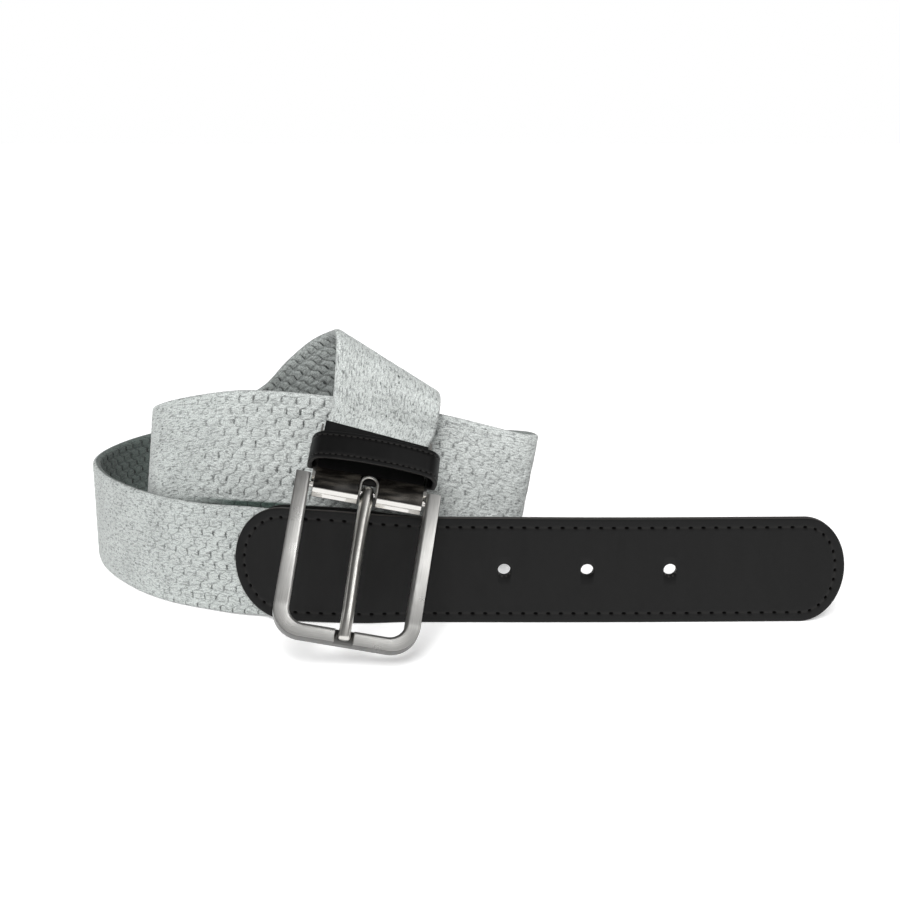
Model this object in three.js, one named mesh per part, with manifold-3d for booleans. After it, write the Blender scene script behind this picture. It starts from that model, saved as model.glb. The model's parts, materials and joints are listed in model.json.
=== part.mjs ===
// A stretch webbing belt laid down in a loose coil, standing on the edge of the strap.
// The belt has a leather tip with three holes, and a clamp buckle on its other end.
// Millimetres, X to the right, Y away from the viewer, Z up.
// The origin is at the middle of the belt's lowest plane.

import * as THREE from 'three';
import { mergeVertices } from 'three/addons/utils/BufferGeometryUtils.js';
import Module from 'manifold-3d';

const wasm = await Module();
wasm.setup();

// Driving dimensions

const gap = 0.3; // clearance between neighbouring pieces

const webbing = {
  width: 39.6,
  thickness: 3.0,
  edge: 1.0,
  pinchedWidth: 38.6,
  pinchedThickness: 2.4,
  pinch: [-5, -1], // from full to pinched, beside the clamp's mouth
  step: 3.2,
};

const tip = {
  nose: 143, // where the leather ends on the right
  length: 221,
  leather: 1.2,
  layerGap: 0.3, // between the two leathers
  sewnGap: 0.5, // between the webbing and each leather
  overlap: 40, // webbing held between the two leathers
  noseLength: 15.3,
  sewnLength: 19.7, // of the rounded end over the webbing
  taper: [-50, -4], // from the sewn end's width to the free end's
  holes: [19.6, 49.6, 79.6],
  holeHeight: 20,
  holeRadius: 2.3,
  part: [-24, -5], // where the leathers part, before the webbing's end
  step: 4,
  layerEdge: 0.2,
  spare: { end: 5, side: 2.5, depth: 60 }, // beyond the outline, before it is cut
};
const sewnEnd = { half: 21.2, middle: 21.3 }; // half width, and height of its middle line
const freeEnd = { half: 19.6, middle: 19.6 };

const clamp = {
  outerWidth: 41.0,
  neckWidth: 39.0, // between the frame's sides
  neckTop: 1.6,
  wall: 0.8,
  end: -3.2, // outer face of the end wall, along the strap from the axle
  mouth: 25,
  plateTop: 5.6,
  back: -2.8, // outer face of the back plate, square to the strap
  face: 3.3, // outer face of the face plate
  slotHalf: 2.7,
  slotCentre: 1.7,
  collar: 0.6,
  collarRise: 0.5,
};

const chape = { width: 38.6, thickness: 1.2, under: 1.0, start: 2.7, leftEnd: 27, rightEnd: 23.4 };

const keeper = {
  start: 8.2, // lower rim level with the axle; the arch sags towards the prong
  sag: 0.22,
  width: 11.4,
  thickness: 1.7,
  drift: 0.6, // the loop has slipped sideways by this much
  sideHalf: 23.6,
  sideTop: 4,
  corner: 1.5,
  shoulderHalf: 18,
  shoulder: 8.6,
  shoulderRise: 0.6,
  crown: 12.6,
  crownHalf: 8,
  back: -4.8,
};

const frame = {
  outerWidth: 52.2,
  innerWidth: 41.8,
  taper: 1.35, // each side leans inwards by this much over its length
  top: 3.5,
  bottom: -56.8,
  bottomBar: 4.8,
  outerRadius: 10,
  innerRadius: 5.5,
  face: 2.25, // height of its front face over the axle
  thickness: 4.9,
  chamfer: 0.4,
  notchRadius: 3.8,
  notchFloor: 0.65,
};

const axle = { radius: 1.0, into: 2.6 };
const prong = {
  radius: 2.1,
  waist: 1.93,
  length: 56,
  rounding: 0.6, // of its flat end
  eyeRadius: 2.2,
  eyeHole: 1.35,
  eyeHalf: 2.1,
};

// The buckle in the coil: where its axle lies, and how its two plates lean back
const buckle = { axle: [-29.3, -1.7, 48.7], roll: 11.7, yaw: 2.7, clampLean: 50, frameLean: 46 };

// Materials

const finish = (color, roughness, metalness) =>
  new THREE.MeshStandardMaterial({ color, roughness, metalness });
const materials = {
  webbing: finish('#b9c1bf', 0.95, 0),
  leather: finish('#26262a', 0.55, 0),
  polished: finish('#d5d3cf', 0.15, 1),
  brushed: finish('#8f8d8a', 0.35, 1),
};

const degrees = THREE.MathUtils.degToRad;

// The buckle's two plates, as turned groups that share the axle

const belt = new THREE.Group();

function plate(lean) {
  const group = new THREE.Group();
  group.position.set(...buckle.axle);
  group.rotation.set(degrees(90 - lean), degrees(buckle.roll), degrees(buckle.yaw), 'ZYX');
  group.updateMatrix();
  belt.add(group);
  return group;
}

const clampPlate = plate(buckle.clampLean);
const framePlate = plate(buckle.frameLean);

// The strap's route: its lower and upper edge at each bend, from the tip to the clamp

const route = [
  { at: 'past the tip', low: [148, -1.4, 0.1], top: [148, 1.3, 39.3] },
  { at: 'holes', low: [60, -2.7, 0.1], top: [60, 0, 39.3] },
  { at: 'narrow leather', low: [-6, -2.7, 0.1], top: [-6, 0.9, 39.3] },
  { at: 'webbing end', low: [-32, -2.2, 1.2], top: [-32, 0.8, 40.8] },
  { at: 'sewn leather', low: [-54, -0.6, 1.5], top: [-54, 2.2, 41.1] },
  { at: 'leather ends', low: [-76, 2.8, 0.6], top: [-75, 9.4, 40.4] },
  { at: 'front run', low: [-91, 8.2, 0.2], top: [-91, 15.6, 39.4] },
  { at: 'front run', low: [-107, 15.4, 0.2], top: [-106, 22.4, 39.4] },
  { at: 'left turn', low: [-123.4, 28, 0.2], top: [-121.3, 32.7, 39.6] },
  { at: 'left turn', low: [-142.1, 51.8, 0.2], top: [-139.9, 52.6, 39.7] },
  { at: 'left turn', low: [-149.7, 77, 0.2], top: [-149.7, 77, 39.8] },
  { at: 'left turn', low: [-143, 105, 0.2], top: [-142.6, 105, 39.8] },
  { at: 'back run', low: [-124, 126, 0.2], top: [-124, 126, 39.8] },
  { at: 'back run', low: [-95, 135, 0.2], top: [-95, 135, 39.8] },
  { at: 'back run', low: [-60, 128, 0.4], top: [-60, 128, 40] },
  { at: 'back run climbs', low: [-27, 106, 3], top: [-29, 106, 42.5] },
  { at: 'back run climbs', low: [1, 76, 10.5], top: [-1, 79, 49.8] },
  { at: 'right fold', low: [16.5, 52, 17.6], top: [19.5, 58, 56.4] },
  { at: 'right fold', low: [24, 39, 20.9], top: [30.6, 45, 59.2] },
  { at: 'right fold', low: [25.4, 33, 21.5], top: [33, 39.5, 59.7] },
  { at: 'right fold', low: [20.5, 28.2, 23], top: [28.2, 35, 61] },
  { at: 'upper run', low: [-9.5, 27.5, 29.6], top: [-3.8, 34.5, 68.4] },
  { at: 'upper run', low: [-52, 27.5, 35], top: [-46, 34.5, 75] },
  { at: 'upper run', low: [-82, 27.5, 37.1], top: [-78, 34.5, 77.3] },
  { at: 'upper run', low: [-103.5, 28.5, 36.4], top: [-100, 35, 75.1] },
  { at: 'second left turn', low: [-115, 34, 33.2], top: [-111, 39.5, 71.8] },
  { at: 'second left turn', low: [-118.9, 45, 29.5], top: [-114.5, 46, 68.5] },
  { at: 'second left turn', low: [-112, 58, 27], top: [-107, 56.5, 66] },
  { at: 'rising run', low: [-94, 67, 27], top: [-93, 62, 65.5] },
  { at: 'rising run', low: [-66, 72, 36.5], top: [-76, 60.5, 73.5] },
  { at: 'rising run', low: [-42, 61, 49], top: [-64.8, 56, 85] },
  { at: 'rising run', low: [-22, 47, 63.5], top: [-54, 48.8, 94.6] },
  { at: 'top fold', low: [-8.5, 38, 74.2], top: [-45.6, 41, 99.5] },
  { at: 'top fold', low: [-4.2, 32.5, 76.2], top: [-42.8, 34, 100.5] },
  { at: 'front drop', low: [-4, 25, 71], top: [-42, 27, 95] },
].map(({ low, top }) => ({ low: new THREE.Vector3(...low), top: new THREE.Vector3(...top) }));

// The last stretch lies straight in the clamp
const webbingLift = chape.under - gap - webbing.pinchedThickness / 2;
for (const { along, drift } of [
  { along: clamp.mouth + 8, drift: 1.6 },
  { along: clamp.mouth + 4, drift: 0.9 },
  { along: clamp.mouth - 1, drift: 0 },
  { along: chape.start, drift: 0 },
]) {
  const edge = (across) =>
    new THREE.Vector3(across + drift, along, webbingLift).applyMatrix4(clampPlate.matrix);
  route.push({ low: edge(webbing.width / 2), top: edge(-webbing.width / 2) });
}

// A curve down the middle of the strap that also knows how the strap's face is turned

class StrapRoute extends THREE.Curve {
  constructor(rows) {
    super();
    this.low = new THREE.CatmullRomCurve3(rows.map((row) => row.low));
    this.top = new THREE.CatmullRomCurve3(rows.map((row) => row.top));
    this.arcLengthDivisions = 2000;
    this.length = this.getLength();
  }

  getPoint(t) {
    return this.low.getPoint(t).lerp(this.top.getPoint(t), 0.5);
  }

  // The point, the direction across the strap and the direction of its inner face, at a distance
  // from the tip. The direction across is longer than 1 in a slanting fold.
  station(distance) {
    const t = this.getUtoTmapping(distance / this.length);
    const tangent = this.getTangent(t);
    const across = this.top.getPoint(t).sub(this.low.getPoint(t)).divideScalar(webbing.width);
    const inner = tangent.clone().cross(across).normalize();
    return { point: this.getPoint(t), tangent, across, inner };
  }
}

const strap = new StrapRoute(route);

// One layer of the strap between two distances from the tip, lifted off its middle plane

class StrapLayer extends THREE.Curve {
  constructor({ start, end, lift = () => 0, pinch = () => 0 }) {
    super();
    Object.assign(this, { start, end, lift, pinch });
  }

  station(t) {
    const distance = THREE.MathUtils.lerp(this.start, this.end, t);
    const station = strap.station(distance);
    const { lerp } = THREE.MathUtils;
    const pinch = this.pinch(distance);
    station.point.addScaledVector(station.inner, this.lift(distance));
    station.across.multiplyScalar(lerp(1, webbing.pinchedWidth / webbing.width, pinch));
    station.inner.multiplyScalar(lerp(1, webbing.pinchedThickness / webbing.thickness, pinch));
    return station;
  }

  getPoint(t) {
    return this.station(t).point;
  }

  getSpacedPoints(steps) {
    return Array.from({ length: steps + 1 }, (_, i) => this.getPoint(i / steps));
  }

  computeFrenetFrames(steps) {
    const stations = Array.from({ length: steps + 1 }, (_, i) => this.station(i / steps));
    return {
      tangents: stations.map((s) => s.tangent),
      normals: stations.map((s) => s.across),
      binormals: stations.map((s) => s.inner),
    };
  }
}

function sweep(layer, halfWidth, halfThickness, edge, step) {
  const section = new THREE.Shape();
  section.moveTo(halfWidth, halfThickness - edge);
  section.lineTo(halfWidth - edge, halfThickness);
  section.lineTo(edge - halfWidth, halfThickness);
  section.lineTo(-halfWidth, halfThickness - edge);
  section.lineTo(-halfWidth, edge - halfThickness);
  section.lineTo(edge - halfWidth, -halfThickness);
  section.lineTo(halfWidth - edge, -halfThickness);
  section.lineTo(halfWidth, edge - halfThickness);
  const steps = Math.round((layer.end - layer.start) / step);
  return new THREE.ExtrudeGeometry(section, { steps, extrudePath: layer });
}

// Closed solids for joining and cutting

function solid(geometry) {
  const shell = geometry.clone();
  shell.deleteAttribute('normal');
  shell.deleteAttribute('uv');
  const merged = mergeVertices(shell, 1e-5);
  return new wasm.Manifold(
    new wasm.Mesh({
      numProp: 3,
      vertProperties: new Float32Array(merged.attributes.position.array),
      triVerts: new Uint32Array(merged.index.array),
    }),
  );
}

function meshGeometry(body) {
  const { vertProperties, triVerts } = body.getMesh();
  const geometry = new THREE.BufferGeometry();
  geometry.setAttribute('position', new THREE.BufferAttribute(vertProperties, 3));
  geometry.setIndex(new THREE.BufferAttribute(triVerts, 1));
  geometry.computeVertexNormals();
  return geometry;
}

function add(parent, name, geometry, material) {
  const mesh = new THREE.Mesh(geometry, material);
  mesh.name = name;
  parent.add(mesh);
}

const block = (x0, x1, y0, y1, z0, z1) =>
  new THREE.BoxGeometry(x1 - x0, y1 - y0, z1 - z0).translate((x0 + x1) / 2, (y0 + y1) / 2, (z0 + z1) / 2);

const rodAlongX = (radius, halfLength, sides = 20) =>
  new THREE.CylinderGeometry(radius, radius, 2 * halfLength, sides).rotateZ(Math.PI / 2);

// The webbing, from inside the leather tip to the clamp

const tipStart = route[0].low.x - tip.nose;
const webbingStart = tipStart + tip.length - tip.overlap;

function makeWebbing() {
  const mouth = strap.length - (clamp.mouth - chape.start);
  const [from, to] = webbing.pinch;
  const layer = new StrapLayer({
    start: webbingStart,
    end: strap.length,
    pinch: (distance) => THREE.MathUtils.smoothstep(distance, mouth + from, mouth + to),
  });
  add(
    belt,
    'webbing',
    sweep(layer, webbing.width / 2, webbing.thickness / 2, webbing.edge, webbing.step),
    materials.webbing,
  );
}

// The leather tip: two layers that part over the webbing's end

function tipOutline() {
  const right = tip.nose - tip.noseLength;
  const left = tip.nose - tip.length + tip.sewnLength;
  const [wide, narrow] = tip.taper;
  const bend = (narrow - wide) / 3;
  const sewn = { low: sewnEnd.middle - sewnEnd.half, top: sewnEnd.middle + sewnEnd.half };
  const free = { low: freeEnd.middle - freeEnd.half, top: freeEnd.middle + freeEnd.half };
  const outline = new THREE.Shape();
  outline.moveTo(right, free.low);
  outline.absellipse(right, freeEnd.middle, tip.noseLength, freeEnd.half, -Math.PI / 2, Math.PI / 2);
  outline.lineTo(narrow, free.top);
  outline.bezierCurveTo(narrow - bend, free.top, wide + bend, sewn.top, wide, sewn.top);
  outline.lineTo(left, sewn.top);
  outline.absellipse(left, sewnEnd.middle, tip.sewnLength, sewnEnd.half, Math.PI / 2, 1.5 * Math.PI);
  outline.lineTo(wide, sewn.low);
  outline.bezierCurveTo(wide + bend, sewn.low, narrow - bend, free.low, narrow, free.low);
  return outline;
}

function makeTip() {
  const outline = tipOutline();
  for (const x of tip.holes) {
    outline.holes.push(new THREE.Path().absarc(x, tip.holeHeight, tip.holeRadius, 0, 2 * Math.PI));
  }
  const { depth, end, side: spareSide } = tip.spare;
  const cutter = solid(
    new THREE.ExtrudeGeometry(outline, { depth, bevelEnabled: false, curveSegments: 12 })
      .rotateX(Math.PI / 2)
      .translate(0, depth / 2, 0),
  );
  const closedLift = (tip.layerGap + tip.leather) / 2;
  const openLift = webbing.thickness / 2 + tip.sewnGap + tip.leather / 2;
  const { lerp, smoothstep } = THREE.MathUtils;
  const [from, to] = tip.part;
  const lift = (distance) =>
    lerp(closedLift, openLift, smoothstep(distance, webbingStart + from, webbingStart + to));
  for (const [name, side] of [['tip_front', -1], ['tip_back', 1]]) {
    const layer = new StrapLayer({
      start: 0,
      end: tipStart + tip.length + end,
      lift: (distance) => side * lift(distance),
    });
    const leather = solid(sweep(layer, sewnEnd.half + spareSide, tip.leather / 2, tip.layerEdge, tip.step));
    add(belt, name, meshGeometry(leather.intersect(cutter)), materials.leather);
  }
}

// The clamp: a folded metal box round the strap's end, with a slot for the prong

function makeClamp() {
  const half = clamp.outerWidth / 2;
  const neckHalf = clamp.neckWidth / 2;
  const { neckTop, wall, end, mouth, back, face, plateTop, slotHalf, slotCentre, collar, collarRise } = clamp;
  const leatherTop = chape.under + chape.thickness;
  let box = solid(block(-half, half, neckTop, mouth, back, back + wall));
  box = box.add(solid(block(-half, half, neckTop, plateTop, face - wall, face)));
  box = box.add(solid(block(-neckHalf, neckHalf, end, neckTop, back, back + wall)));
  box = box.add(solid(block(-neckHalf, neckHalf, end, neckTop, face - wall, face)));
  box = box.add(solid(block(-neckHalf, neckHalf, end, end + wall, back, face)));
  for (const side of [-1, 1]) {
    const across = (from, to) => [Math.min(side * from, side * to), Math.max(side * from, side * to)];
    box = box.add(solid(block(...across(half - wall, half), neckTop, mouth, back, leatherTop)));
    box = box.add(solid(block(...across(half - wall, half), neckTop, plateTop, back, face)));
    box = box.add(solid(block(...across(neckHalf - wall, half), neckTop, neckTop + wall, back, face)));
    box = box.add(solid(block(...across(neckHalf - wall, neckHalf), end, neckTop, back, face)));
  }
  const ring = new THREE.Shape();
  ring.moveTo(-slotHalf - collar, end);
  ring.lineTo(slotHalf + collar, end);
  ring.absarc(0, slotCentre, slotHalf + collar, 0, Math.PI);
  box = box.add(
    solid(
      new THREE.ExtrudeGeometry(ring, { depth: wall + collarRise, bevelEnabled: false, curveSegments: 10 })
        .translate(0, 0, face - wall),
    ),
  );
  const slot = new THREE.Shape();
  slot.moveTo(-slotHalf, end - 1);
  slot.lineTo(slotHalf, end - 1);
  slot.absarc(0, slotCentre, slotHalf, 0, Math.PI);
  const depth = 3 * (face - back);
  box = box.subtract(
    solid(
      new THREE.ExtrudeGeometry(slot, { depth, bevelEnabled: false, curveSegments: 10 })
        .translate(0, 0, -depth / 2),
    ),
  );
  box = box.subtract(solid(rodAlongX(axle.radius + gap, half + 1)));
  add(clampPlate, 'clamp', meshGeometry(box), materials.polished);
}

// The leather patch on the strap's end, under the clamp's face plate

function makeChape() {
  const { width, thickness, under, start, leftEnd, rightEnd } = chape;
  const outline = new THREE.Shape();
  outline.moveTo(-width / 2, start);
  outline.lineTo(width / 2, start);
  outline.lineTo(width / 2, rightEnd);
  outline.lineTo(-width / 2, leftEnd);
  const patch = new THREE.ExtrudeGeometry(outline, { depth: thickness, bevelEnabled: false });
  add(clampPlate, 'chape', patch.translate(0, 0, under), materials.leather);
}

// The keeper: a leather loop round the clamp, standing up in an arch for the belt's tip

function keeperRing(inset) {
  const side = keeper.sideHalf - inset;
  const flat = side - keeper.corner;
  const floor = keeper.back + inset;
  const rise = keeper.shoulder - inset;
  const { shoulderHalf, sideTop, crownHalf } = keeper;
  const shoulder = rise + keeper.shoulderRise;
  const crown = keeper.crown - inset;
  const ring = new THREE.Shape();
  ring.moveTo(-flat, floor);
  ring.lineTo(flat, floor);
  ring.bezierCurveTo(side, floor, side, floor, side, 0);
  ring.bezierCurveTo(side, sideTop, flat, rise, shoulderHalf, shoulder);
  ring.bezierCurveTo(crownHalf, crown, -crownHalf, crown, -shoulderHalf, shoulder);
  ring.bezierCurveTo(-flat, rise, -side, sideTop, -side, 0);
  ring.bezierCurveTo(-side, floor, -side, floor, -flat, floor);
  return ring;
}

function makeKeeper() {
  const ring = keeperRing(0);
  ring.holes.push(keeperRing(keeper.thickness));
  const depth = keeper.width;
  const geometry = new THREE.ExtrudeGeometry(ring, { depth, bevelEnabled: false, curveSegments: 8 })
    .rotateX(Math.PI / 2)
    .translate(keeper.drift, keeper.start + keeper.width, 0)
    .applyMatrix4(new THREE.Matrix4().makeShear(0, 0, 0, 0, 0, -keeper.sag));
  add(clampPlate, 'keeper', geometry, materials.leather);
}

// The buckle's frame: three sides of a rounded rectangle, hung on the axle

const prongTilt = Math.atan2(frame.notchFloor + gap + prong.radius, -frame.bottom - frame.bottomBar);

function makeFrame() {
  const outer = frame.outerWidth / 2 - frame.chamfer;
  const inner = frame.innerWidth / 2 + frame.chamfer;
  const top = frame.top - frame.chamfer;
  const bottom = frame.bottom + frame.chamfer;
  const sill = frame.bottom + frame.bottomBar - frame.chamfer;
  const outerRadius = frame.outerRadius - frame.chamfer;
  const innerRadius = frame.innerRadius + frame.chamfer;
  const cornerX = outer - frame.taper - outerRadius;
  const windowX = inner - frame.taper - innerRadius;
  const outline = new THREE.Shape();
  outline.moveTo(-inner, top);
  outline.lineTo(-outer, top);
  outline.absarc(-cornerX, bottom + outerRadius, outerRadius, Math.PI, 1.5 * Math.PI);
  outline.absarc(cornerX, bottom + outerRadius, outerRadius, 1.5 * Math.PI, 2 * Math.PI);
  outline.lineTo(outer, top);
  outline.lineTo(inner, top);
  outline.absarc(windowX, sill + innerRadius, innerRadius, 2 * Math.PI, 1.5 * Math.PI, true);
  outline.absarc(-windowX, sill + innerRadius, innerRadius, 1.5 * Math.PI, Math.PI, true);
  let body = solid(
    new THREE.ExtrudeGeometry(outline, {
      depth: frame.thickness - 2 * frame.chamfer,
      bevelSize: frame.chamfer,
      bevelThickness: frame.chamfer,
      bevelSegments: 1,
      curveSegments: 10,
    }).translate(0, 0, frame.face + frame.chamfer - frame.thickness),
  );
  const notch = new THREE.CylinderGeometry(frame.notchRadius, frame.notchRadius, 20, 24)
    .translate(0, frame.bottom, frame.notchFloor + frame.notchRadius);
  body = body.subtract(solid(notch));
  body = body.subtract(solid(rodAlongX(axle.radius + gap, frame.innerWidth / 2 + axle.into + gap)));
  add(framePlate, 'buckle_frame', meshGeometry(body), materials.brushed);
}

function makeAxle() {
  add(framePlate, 'axle', rodAlongX(axle.radius, frame.innerWidth / 2 + axle.into), materials.polished);
}

function makeProng() {
  const { radius, waist, length, rounding, eyeRadius, eyeHole, eyeHalf } = prong;
  const profile = [
    [0, -length],
    [radius - rounding, -length],
    [radius, rounding - length],
    [radius, -0.8 * length],
    [waist, -0.5 * length],
    [radius, -0.1 * length],
    [radius, 0],
    [0, 0],
  ].map(([x, y]) => new THREE.Vector2(x, y));
  let body = solid(new THREE.LatheGeometry(profile, 20));
  body = body.add(solid(rodAlongX(eyeRadius, eyeHalf)));
  body = body.subtract(solid(rodAlongX(eyeHole, eyeHalf + 1)));
  const hinged = new THREE.Group();
  hinged.rotation.x = -prongTilt;
  framePlate.add(hinged);
  add(hinged, 'prong', meshGeometry(body), materials.brushed);
}

makeWebbing();
makeTip();
makeClamp();
makeChape();
makeKeeper();
makeFrame();
makeAxle();
makeProng();

// Stand the belt on its lowest plane, with the origin in the middle
belt.updateMatrixWorld(true);
const bounds = new THREE.Box3().setFromObject(belt, true);
const middle = bounds.getCenter(new THREE.Vector3());
belt.position.set(-middle.x, -middle.y, -bounds.min.z);

export default belt;
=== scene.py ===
import json
import math

import bmesh
import bpy
import numpy as np
from mathutils import Matrix, Vector


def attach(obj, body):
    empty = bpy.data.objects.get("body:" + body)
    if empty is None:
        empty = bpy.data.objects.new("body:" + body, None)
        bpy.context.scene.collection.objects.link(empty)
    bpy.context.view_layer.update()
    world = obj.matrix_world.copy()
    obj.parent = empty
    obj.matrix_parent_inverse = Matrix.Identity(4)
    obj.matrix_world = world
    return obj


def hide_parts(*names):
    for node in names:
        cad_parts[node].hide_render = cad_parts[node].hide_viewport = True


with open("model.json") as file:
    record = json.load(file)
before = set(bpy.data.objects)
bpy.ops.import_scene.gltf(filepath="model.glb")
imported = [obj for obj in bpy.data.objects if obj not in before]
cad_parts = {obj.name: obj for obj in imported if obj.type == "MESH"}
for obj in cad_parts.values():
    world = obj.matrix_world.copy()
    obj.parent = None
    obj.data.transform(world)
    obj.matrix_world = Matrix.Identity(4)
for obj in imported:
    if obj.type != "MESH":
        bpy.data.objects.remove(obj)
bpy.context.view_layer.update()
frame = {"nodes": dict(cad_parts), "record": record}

# The buckle as it lies in the coil, in mm and degrees. Its axle fixes where the coil's own frame lies.
buckle = {"axle": (-29.3, -1.7, 48.7), "roll": 11.7, "yaw": 2.7, "clampLean": 50, "frameLean": 46}
hinge = frame["record"]["behaviour"]["joints"][0]["pos_m"]
shift = 1000 * np.array(hinge) - np.array(buckle["axle"])


def plateTurn(lean):
    return np.array(
        Matrix.Rotation(math.radians(buckle["yaw"]), 3, "Z")
        @ Matrix.Rotation(math.radians(buckle["roll"]), 3, "Y")
        @ Matrix.Rotation(math.radians(90 - lean), 3, "X")
    )


clampTurn = plateTurn(buckle["clampLean"])
frameTurn = plateTurn(buckle["frameLean"])


# From a buckle plate's own axes (across, up the strap, out of its face) to the coil's frame, in mm
def onPlate(turn, points):
    return np.asarray(points) @ turn.T + np.array(buckle["axle"])


# From the coil's frame, in mm, to the row's, in metres
def toRow(points):
    return (np.asarray(points) + shift) * 0.001


# Helpers for outlines and seams, in mm

def smoothStep(x, start, end):
    t = np.clip((np.asarray(x, float) - start) / (end - start), 0, 1)
    return t * t * (3 - 2 * t)


def hump(distance, half):
    return np.exp(-(distance / half) ** 2)


def bezier(p0, p1, p2, p3, t):
    t = np.asarray(t)[:, None]
    p0, p1, p2, p3 = (np.array(p, float) for p in (p0, p1, p2, p3))
    return p0 * (1 - t) ** 3 + 3 * p1 * t * (1 - t) ** 2 + 3 * p2 * t ** 2 * (1 - t) + p3 * t ** 3


def runAlong(points):
    return np.concatenate([[0], np.cumsum(np.linalg.norm(np.diff(points, axis=0), axis=1))])


# How far each point of a seam is from its nearest stitch, with the stitches spread evenly
def fromStitch(run, spacing):
    pitch = run[-1] / round(run[-1] / spacing)
    return np.abs((run / pitch + 0.5) % 1 - 0.5) * pitch


# Helpers for meshes

def pieceFrom(mesh, name):
    data = bpy.data.meshes.new(name)
    mesh.to_mesh(data)
    mesh.free()
    piece = bpy.data.objects.new(name, data)
    bpy.context.collection.objects.link(piece)
    return piece


def smoothFaces(mesh):
    for face in mesh.faces:
        face.smooth = True


# Takes a mesh made in a plate's own axes, in mm, to its place
def seat(mesh, turn):
    for vert in mesh.verts:
        vert.co = Vector(toRow(onPlate(turn, [tuple(vert.co)]))[0])


# A flat grid wrapped onto places[column, row]; its doubles are welded and its open ends are capped
def wrappedGrid(name, places, uv, masks=None, cap=True, sharp=None):
    columns, rows = places.shape[:2]
    mesh = bmesh.new()
    bmesh.ops.create_grid(mesh, x_segments=rows - 1, y_segments=columns - 1, size=1)
    piece = pieceFrom(mesh, name)
    data = piece.data
    data.vertices.foreach_set("co", toRow(places.reshape(-1, 3)).astype(np.float32).ravel())
    corners = np.empty(len(data.loops), np.int32)
    data.loops.foreach_get("vertex_index", corners)
    layer = data.uv_layers.new(name="surface")
    layer.data.foreach_set("uv", (uv.reshape(-1, 2)[corners] * 0.001).astype(np.float32).ravel())
    for key, values in (masks or {}).items():
        layer = data.attributes.new(key, "FLOAT", "POINT")
        layer.data.foreach_set("value", values.astype(np.float32).ravel())
    mesh = bmesh.new()
    mesh.from_mesh(data)
    bmesh.ops.remove_doubles(mesh, verts=mesh.verts, dist=4e-6)
    bmesh.ops.dissolve_degenerate(mesh, edges=mesh.edges, dist=1e-7)
    if cap:
        rims = [edge for edge in mesh.edges if edge.is_boundary]
        for edge in rims:
            edge.smooth = False
        bmesh.ops.holes_fill(mesh, edges=rims, sides=0)
    bmesh.ops.recalc_face_normals(mesh, faces=mesh.faces)
    smoothFaces(mesh)
    if sharp:
        for edge in mesh.edges:
            if edge.is_manifold and edge.calc_face_angle() > math.radians(sharp):
                edge.smooth = False
    mesh.to_mesh(data)
    mesh.free()
    return piece


# Cuts the cutter out of each piece, bakes the cut into their meshes and throws the cutter away
def cutOut(cutter, *pieces):
    for piece in pieces:
        modifier = piece.modifiers.new("cut", "BOOLEAN")
        modifier.object = cutter
        modifier.operation = "DIFFERENCE"
        modifier.solver = "EXACT"
        graph = bpy.context.evaluated_depsgraph_get()
        data = bpy.data.meshes.new_from_object(piece.evaluated_get(graph), depsgraph=graph)
        piece.modifiers.clear()
        piece.data = data
    bpy.data.objects.remove(cutter)


def dress(piece, body, slot, material, *nodes):
    piece.data.materials.clear()
    piece.data.materials.append(material)
    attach(piece, body)
    if nodes:
        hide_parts(*nodes)


# Helpers for materials

def hexColour(code):
    channels = [int(code[i:i + 2], 16) / 255 for i in (1, 3, 5)]
    return [c / 12.92 if c <= 0.04045 else ((c + 0.055) / 1.055) ** 2.4 for c in channels] + [1]


# Gives a node its inputs, by place or name: a value is set, and another node or its socket is linked
def feed(tree, node, inputs):
    for key, value in inputs.items():
        if isinstance(value, bpy.types.Node):
            value = next(socket for socket in value.outputs if socket.enabled)
        if isinstance(value, bpy.types.NodeSocket):
            tree.links.new(value, node.inputs[key])
        else:
            node.inputs[key].default_value = value


def addNode(tree, kind, inputs=(), **settings):
    node = tree.nodes.new("ShaderNode" + kind)
    for key, value in settings.items():
        setattr(node, key, value)
    feed(tree, node, inputs if isinstance(inputs, dict) else dict(enumerate(inputs)))
    return node


def newMaterial(name):
    material = bpy.data.materials.new(name)
    material.use_nodes = True
    return material, material.node_tree, material.node_tree.nodes["Principled BSDF"]


# Sets the stops of a colour ramp, each a place and a colour
def setStops(node, *stops):
    for stop, (place, colour) in zip(node.color_ramp.elements, stops):
        stop.position = place
        stop.color = hexColour(colour)


# Settings that many nodes share. A Map Range takes its value, the range that it comes from and the one that
# it goes to. A Mix of colours takes its share as input 0 and the two colours as 6 and 7.
eased = {"interpolation_type": "SMOOTHSTEP"}
blended = {"data_type": "RGBA"}
multiplied = {"data_type": "RGBA", "blend_type": "MULTIPLY"}


# Camera: at the photograph's viewing angle, its place in mm in the coil's frame
view = {"place": (0, -372.7, 171.4), "pitch": 16, "lens": 44, "sensor": 36}

cameraData = bpy.data.cameras.new("camera")
cameraData.lens = view["lens"]
cameraData.sensor_width = view["sensor"]
camera = bpy.data.objects.new("camera", cameraData)
camera.location = toRow([view["place"]])[0]
camera.rotation_euler = (math.radians(90 - view["pitch"]), 0, 0)
bpy.context.collection.objects.link(camera)
bpy.context.scene.camera = camera

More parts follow.
